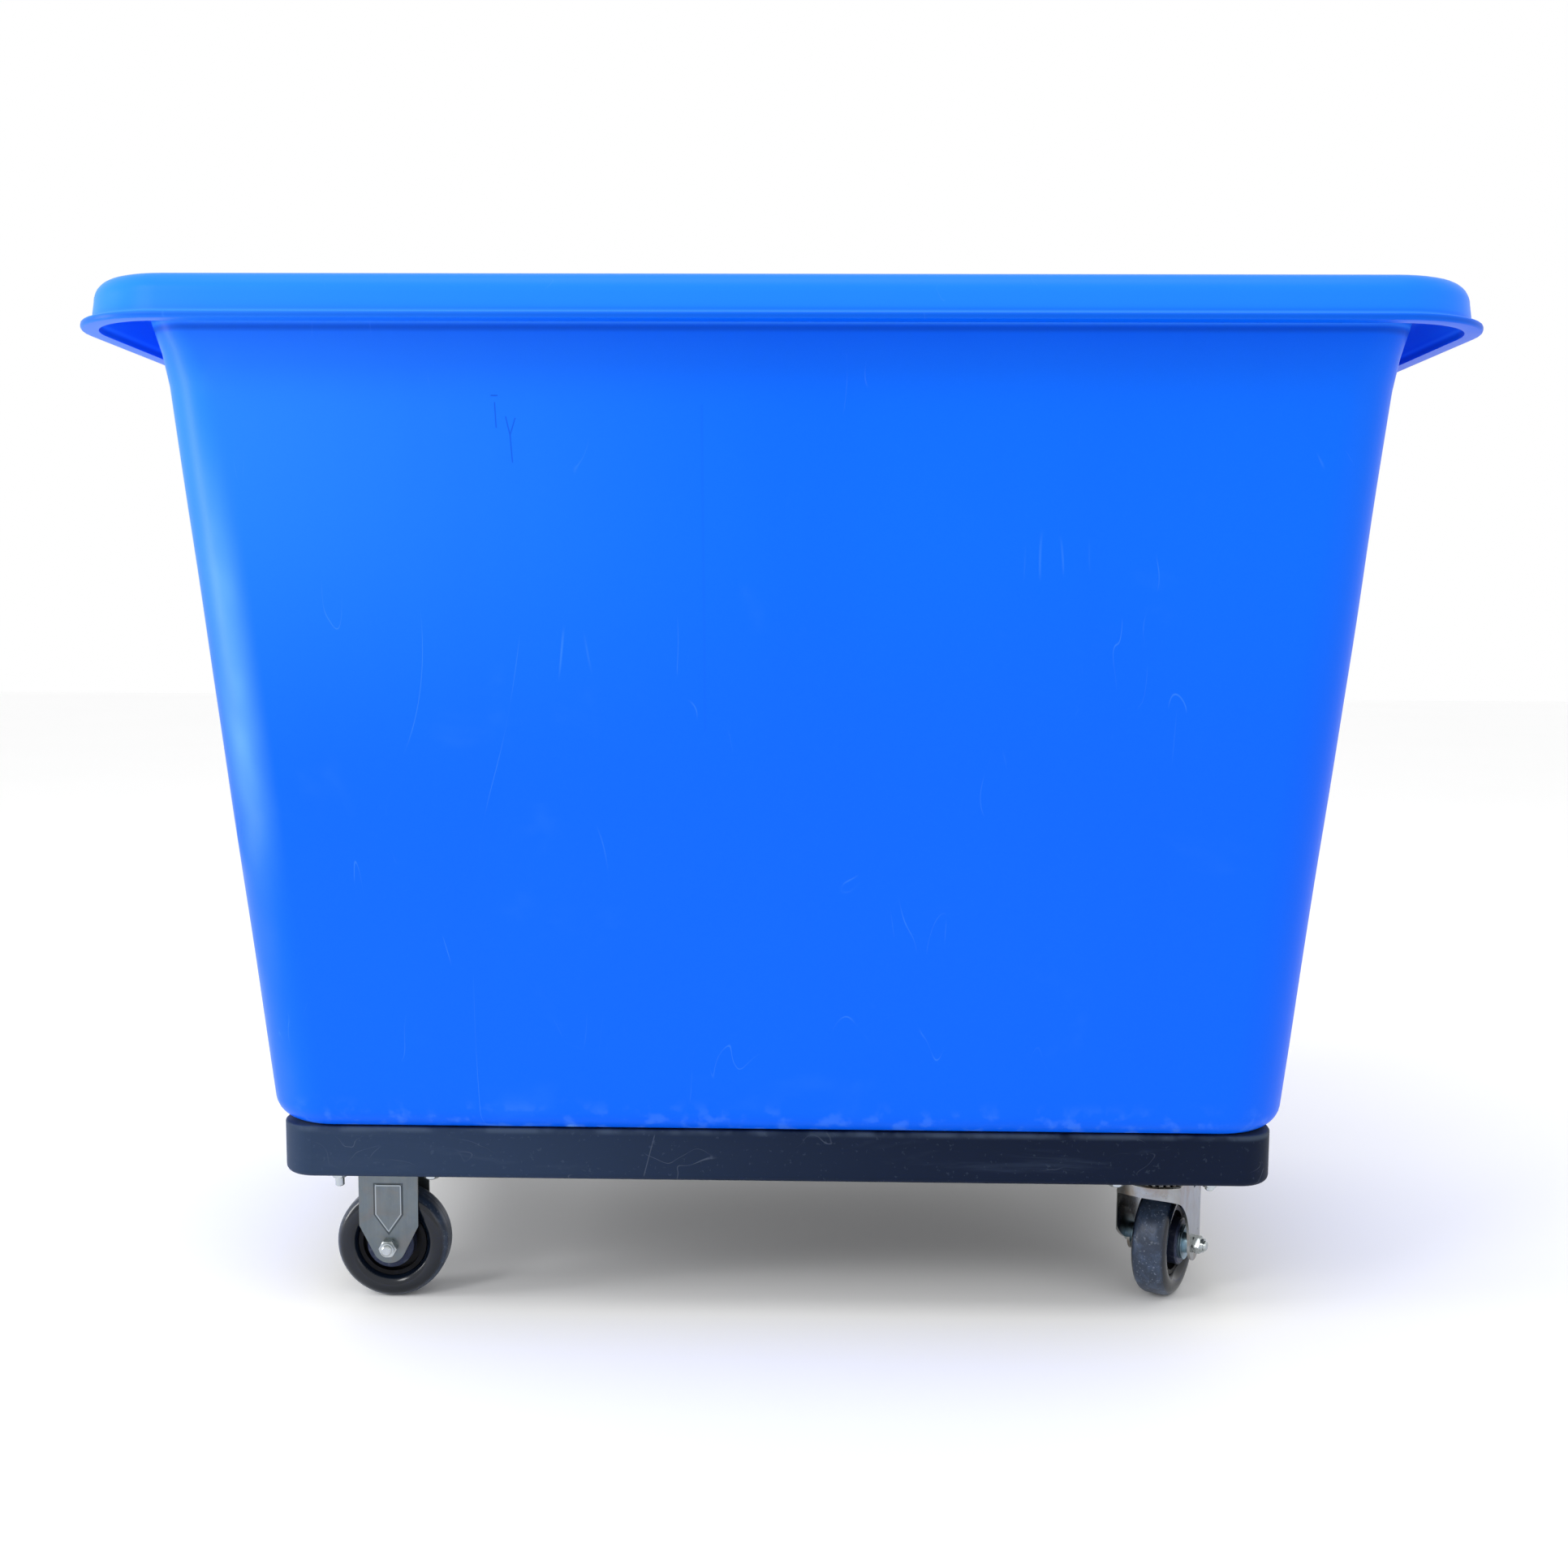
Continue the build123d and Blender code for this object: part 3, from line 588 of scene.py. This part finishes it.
def select_span(piece, start, stop):
    """In edit mode, selects the edges between vertices start and stop, in order made."""
    bpy.ops.mesh.select_all(action="DESELECT")
    mesh = edit_mesh(piece)
    for edge in mesh.edges:
        ends = [end.index for end in edge.verts]
        if min(ends) >= start and max(ends) < stop:
            edge.select_set(True)
    bmesh.update_edit_mesh(piece.data)


def push(piece, centre, reach, move):
    """Pushes the skin near a point, fading out over a distance."""
    centre = Vector(centre)
    mesh = edit_mesh(piece)
    nearest = min(mesh.verts, key=lambda vertex: (vertex.co - centre).length).index
    select_where(piece, "verts", lambda vertex: vertex.index == nearest)
    bpy.ops.transform.translate(
        value=move, use_proportional_edit=True, use_proportional_connected=True,
        proportional_edit_falloff="SMOOTH", proportional_size=reach,
    )


def bow_walls(piece):
    """Slow waves in the walls, none at the rim, foot and floor."""
    group = piece.vertex_groups.new(name="walls")
    low = tub_low.z + 2 * FOOT_ROUND
    high = rim_start - 0.03
    for vertex in piece.data.vertices:
        z = vertex.co.z
        weight = min(1.0, max(0.0, (z - low) / 0.12), max(0.0, (high - z) / 0.12))
        if low < z < high:
            group.add([vertex.index], weight, "REPLACE")
    waves = bpy.data.textures.new("slow_waves", "CLOUDS")
    waves.noise_scale = 0.24
    waves.noise_depth = 1
    bow = piece.modifiers.new("bow", "DISPLACE")
    bow.texture = waves
    bow.texture_coords = "LOCAL"
    bow.strength = 0.0026
    bow.vertex_group = "walls"
    bpy.ops.object.modifier_apply(modifier="bow")


def dent_corner(piece):
    """Small knocks on the near left corner."""
    bpy.ops.object.mode_set(mode="EDIT")
    corner_x = -(foot_half.x + tub_high.x - RIM_REACH) / 2
    knocks = (
        ((corner_x + 0.016, -0.294, 0.452), 0.030, (0.0030, 0.0044, 0)),
        ((corner_x + 0.014, -0.292, 0.425), 0.022, (-0.0010, -0.0020, 0)),
        ((corner_x + 0.024, -0.288, 0.356), 0.026, (0.0014, 0.0026, 0)),
        ((corner_x + 0.032, -0.278, 0.230), 0.022, (0.0010, 0.0020, 0)),
    )
    for centre, reach, move in knocks:
        push(piece, centre, reach, move)
    bpy.ops.mesh.select_all(action="DESELECT")
    bpy.ops.object.mode_set(mode="OBJECT")


def make_tub(material):
    """Moulded tub built up ring by ring, then bowed and knocked."""
    rings = tub_rings()
    piece = start_mesh("tub_shell")
    bpy.ops.mesh.select_mode(type="EDGE")
    counts = [0]
    for ring in rings:
        counts.append(add_ring(piece, counts[-1], *ring))
    for start, stop in zip(counts, counts[2:]):
        select_span(piece, start, stop)
        bpy.ops.mesh.bridge_edge_loops()
    for start, stop in ((counts[0], counts[1]), (counts[-2], counts[-1])):
        select_span(piece, start, stop)
        bpy.ops.mesh.edge_face_add()
    end_mesh(piece, material, "truck", 50.0)
    bow_walls(piece)
    dent_corner(piece)
    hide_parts("tub")


# ---- wheels -----------------------------------------------------------------
TYRE_DEPTH = 0.0198             # from the running surface in to the wheel core
TYRE_ROUND = 0.0094
TREAD_RIDGE = 0.00018           # height of the parting ridge
TREAD_CUTS = 11                 # odd, so that one cut lies on the middle
ROUND_STEPS = 8
SPIN_STEPS = 96
NEAR = 1e-6


def make_tyre(name, joint, body, node, material):
    """Tyre: a rounded section with a faint parting ridge, spun about the axle."""
    centre = joint_place(joint)
    axis = joint_axis(joint)
    along = Matrix((axis.cross(Vector((0, 0, 1))), axis, Vector((0, 0, 1)))).transposed().to_4x4()
    place = Matrix.Translation(centre) @ along
    piece = start_mesh(name)
    middle = WHEEL_RADIUS - TYRE_DEPTH / 2
    bpy.ops.mesh.primitive_plane_add(size=1.0, location=(0, 0, 0))
    section = (TYRE_DEPTH - TREAD_RIDGE, 2 * TYRE_HALF_WIDTH, 1)
    bpy.ops.transform.resize(value=section, center_override=(0, 0, 0))
    bpy.ops.transform.translate(value=(middle - TREAD_RIDGE / 2, 0, 0))
    bpy.ops.mesh.bevel(offset=TYRE_ROUND, segments=ROUND_STEPS, affect="VERTICES")
    bpy.ops.mesh.select_mode(type="EDGE")
    outer = middle + TYRE_DEPTH / 2 - TREAD_RIDGE
    select_where(piece, "edges", lambda edge: all(abs(end.co.x - outer) < NEAR for end in edge.verts))
    bpy.ops.mesh.subdivide(number_cuts=TREAD_CUTS)
    select_where(piece, "verts", lambda vertex: abs(vertex.co.y) < NEAR and vertex.co.x > middle)
    bpy.ops.transform.translate(value=(TREAD_RIDGE, 0, 0))
    bpy.ops.mesh.select_mode(type="FACE")
    bpy.ops.mesh.select_all(action="SELECT")
    bpy.ops.mesh.delete(type="ONLY_FACE")
    bpy.ops.mesh.select_mode(type="VERT")
    bpy.ops.mesh.select_all(action="SELECT")
    bpy.ops.mesh.spin(steps=SPIN_STEPS, angle=2 * pi, center=(0, 0, 0), axis=(0, 1, 0))
    bpy.ops.object.mode_set(mode="OBJECT")
    piece.data.transform(place)
    bpy.ops.object.mode_set(mode="EDIT")
    end_mesh(piece, material, body, 60.0)
    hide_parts(node)


# ---- camera, lights and floor ----------------------------------------------
CAMERA_PLACE = (0.0313, -1.6291, 0.6138)
CAMERA_TURN = (1.031, 5.647, 0.310)      # yaw, pitch down and roll, in degrees
LENS_MM = 37.257
SENSOR_MM = 36.0

# name, place, target, size, watts
LIGHTS = (
    ("key", (-2.3, -2.5, 2.3), (-0.2, -0.2, 0.4), (0.9, 0.9), 26),
    ("overhead", (0.0, -0.9, 3.2), (0, -0.1, 0.6), (2.6, 1.4), 26),
    ("left_strip", (-2.8, -0.75, 0.8), (-0.35, -0.2, 0.25), (0.5, 1.3), 30),
    ("fill", (2.6, -2.2, 1.2), (0, 0, 0.4), (1.4, 1.4), 4),
)


def add_camera():
    """Camera in front of the long side, a little right of its middle, looking slightly down."""
    yaw, pitch, roll = [radians(angle) for angle in CAMERA_TURN]
    ahead = Vector((-sin(yaw) * cos(pitch), cos(yaw) * cos(pitch), -sin(pitch)))
    level = Vector((cos(yaw), sin(yaw), 0))
    above = level.cross(ahead)
    right = cos(roll) * level + sin(roll) * above
    up = cos(roll) * above - sin(roll) * level
    turn = Matrix((right, up, -ahead)).transposed().to_4x4()
    camera_data = bpy.data.cameras.new("camera")
    camera_data.lens = LENS_MM
    camera_data.sensor_width = SENSOR_MM
    camera = bpy.data.objects.new("camera", camera_data)
    camera.matrix_world = Matrix.Translation(CAMERA_PLACE) @ turn
    bpy.context.collection.objects.link(camera)
    bpy.context.scene.camera = camera


def add_light(name, place, target, size, power):
    light_data = bpy.data.lights.new(name, "AREA")
    light_data.shape = "RECTANGLE"
    light_data.size, light_data.size_y = size
    light_data.energy = power
    light = bpy.data.objects.new(name, light_data)
    place = Vector(place)
    facing = (Vector(target) - place).to_track_quat("-Z", "Y")
    light.matrix_world = Matrix.Translation(place) @ facing.to_matrix().to_4x4()
    bpy.context.collection.objects.link(light)


def add_stage():
    scene = bpy.context.scene
    scene.view_settings.view_transform = "Standard"
    world = bpy.data.worlds.new("studio")
    world.use_nodes = True
    background = world.node_tree.nodes["Background"]
    background.inputs["Color"].default_value = colour(1.0, 1.0, 1.0)
    background.inputs["Strength"].default_value = 1.0
    scene.world = world
    bpy.ops.object.select_all(action="DESELECT")
    bpy.ops.mesh.primitive_plane_add(size=24.0, location=(0, 0, 0))
    floor = bpy.context.object
    floor.name = "studio_floor"
    floor.data.materials.append(floor_paint())
    for light in LIGHTS:
        add_light(*light)


# ---- finish for every carried-over node ------------------------------------
def finish_nodes(finishes):
    """Gives each CAD node that shows its own finish."""
    endings = (
        ("_top_plate", "bright_zinc"), ("_yoke", "bright_zinc"), ("_lower_race", "bright_zinc"),
        ("_bracket", "satin_zinc"), ("_wheel_bearing", "turned_steel"),
        ("_balls", "polished_steel"), ("_hub_caps", "cap_zinc"),
    )
    for name, node in frame["nodes"].items():
        finish = "fastener_zinc"
        for ending, kind in endings:
            if name.endswith(ending):
                finish = kind
        if name == "base":
            finish = "base"
        node.data.materials.clear()
        node.data.materials.append(finishes[finish])


# name: dark and light colour, smooth and rough, and for some a warm tint and an edge for painted shade and
# highlight lines
ZINCS = {
    "bright_zinc": ((0.20, 0.22, 0.23), (0.42, 0.43, 0.42), 0.12, 0.26, 0.75),
    "satin_zinc": ((0.09, 0.11, 0.12), (0.20, 0.23, 0.24), 0.28, 0.42, 0.25, panel_edge),
    "cap_zinc": ((0.22, 0.33, 0.40), (0.38, 0.52, 0.60), 0.26, 0.40),
    "turned_steel": ((0.40, 0.40, 0.41), (0.58, 0.58, 0.59), 0.20, 0.32),
    "polished_steel": ((0.60, 0.60, 0.61), (0.75, 0.75, 0.76), 0.08, 0.16),
    "fastener_zinc": ((0.30, 0.33, 0.34), (0.58, 0.62, 0.62), 0.18, 0.34),
}


def main():
    finishes = {"base": black_base_plastic()}
    for name, (dark, light, *rest) in ZINCS.items():
        finishes[name] = zinc(name, colour(*dark), colour(*light), *rest)
    finish_nodes(finishes)
    make_tub(blue_tub_plastic())
    for side in ("near", "far"):
        for kind in ("rigid", "swivel"):
            name = kind + "_wheel_" + side
            reach = wheel_reach(name + "_roll")
            material = tyre_black("tyre_black_" + kind + "_" + side, reach)
            hub = frame["nodes"][kind + "_" + side + "_wheel_core"]
            hub.data.materials.clear()
            hub.data.materials.append(hub_plastic("hub_plastic_" + kind + "_" + side, reach))
            make_tyre(name + "_tread", name + "_roll", name, kind + "_" + side + "_tyre", material)
    add_stage()
    add_camera()


main()
